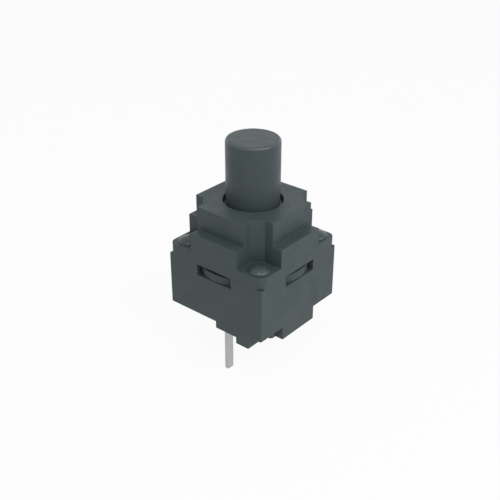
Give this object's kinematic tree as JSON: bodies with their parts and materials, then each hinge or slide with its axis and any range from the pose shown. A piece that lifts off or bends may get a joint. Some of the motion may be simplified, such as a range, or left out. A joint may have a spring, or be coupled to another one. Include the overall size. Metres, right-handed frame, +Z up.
{
  "type": "tactile switch",
  "caption": "Square sealed key switch for a printed board: stepped plastic housing, tall round plunger that travels down, and metal pins below.",
  "frame": {"origin": "middle of the housing in plan, in the plane of the four feet's undersides, which is the board's surface", "axes": "+Z up along the plunger, away from the board; the picture's left visible face looks along -Y and its right visible face along +X"},
  "size_m": [0.012, 0.012, 0.0233],
  "materials": {
    "housing": "fine matte moulded, charcoal grey",
    "plunger_plastic": "fine matte moulded, charcoal grey",
    "pin_plastic": "satin, heat formed head",
    "seal_rubber": "dull silicone rubber, dark grey",
    "inner_plastic": "natural glass filled nylon",
    "film": "amber polyimide film",
    "dome_steel": "stainless strip, smooth",
    "silver": "fine silver, satin",
    "tinned_metal": "matt tin plate on brass",
    "spring_wire": "drawn stainless wire",
    "sealant": "black casting resin"
  },
  "bodies": {
    "housing": {"lower_housing": "housing", "upper_housing": "housing", "sealing_boot": "seal_rubber", "return_spring": "spring_wire", "guide_plate": "inner_plastic", "dome_film": "film", "snap_dome": "dome_steel", "centre_contact": "silver", "common_terminal": "tinned_metal", "centre_terminal": "tinned_metal", "pin_sealant_front": "sealant", "pin_sealant_back": "sealant", "cover_pin_front_left": "pin_plastic", "cover_pin_front_right": "pin_plastic", "cover_pin_back_right": "pin_plastic", "cover_pin_back_left": "pin_plastic"},
    "plunger": {"plunger": "plunger_plastic", "overtravel_spring": "spring_wire"},
    "tappet": {"tappet": "inner_plastic"}
  },
  "joints": [
    {"name": "plunger_press", "type": "slide", "parent": "housing", "child": "plunger", "axis": [0, 0, -1], "range_m": [0, 0.0015], "stiffness_N_per_m": 800, "springref_m": -0.0015, "deforming": ["return_spring", "sealing_boot", "overtravel_spring"]},
    {"name": "tappet_press", "type": "slide", "parent": "housing", "child": "tappet", "axis": [0, 0, -1], "range_m": [0, 0.00025], "deforming": ["snap_dome", "dome_film"]}
  ],
  "couplings": [
    {"joint": "tappet_press", "follows": "plunger_press", "ratio": 0.16}
  ]
}
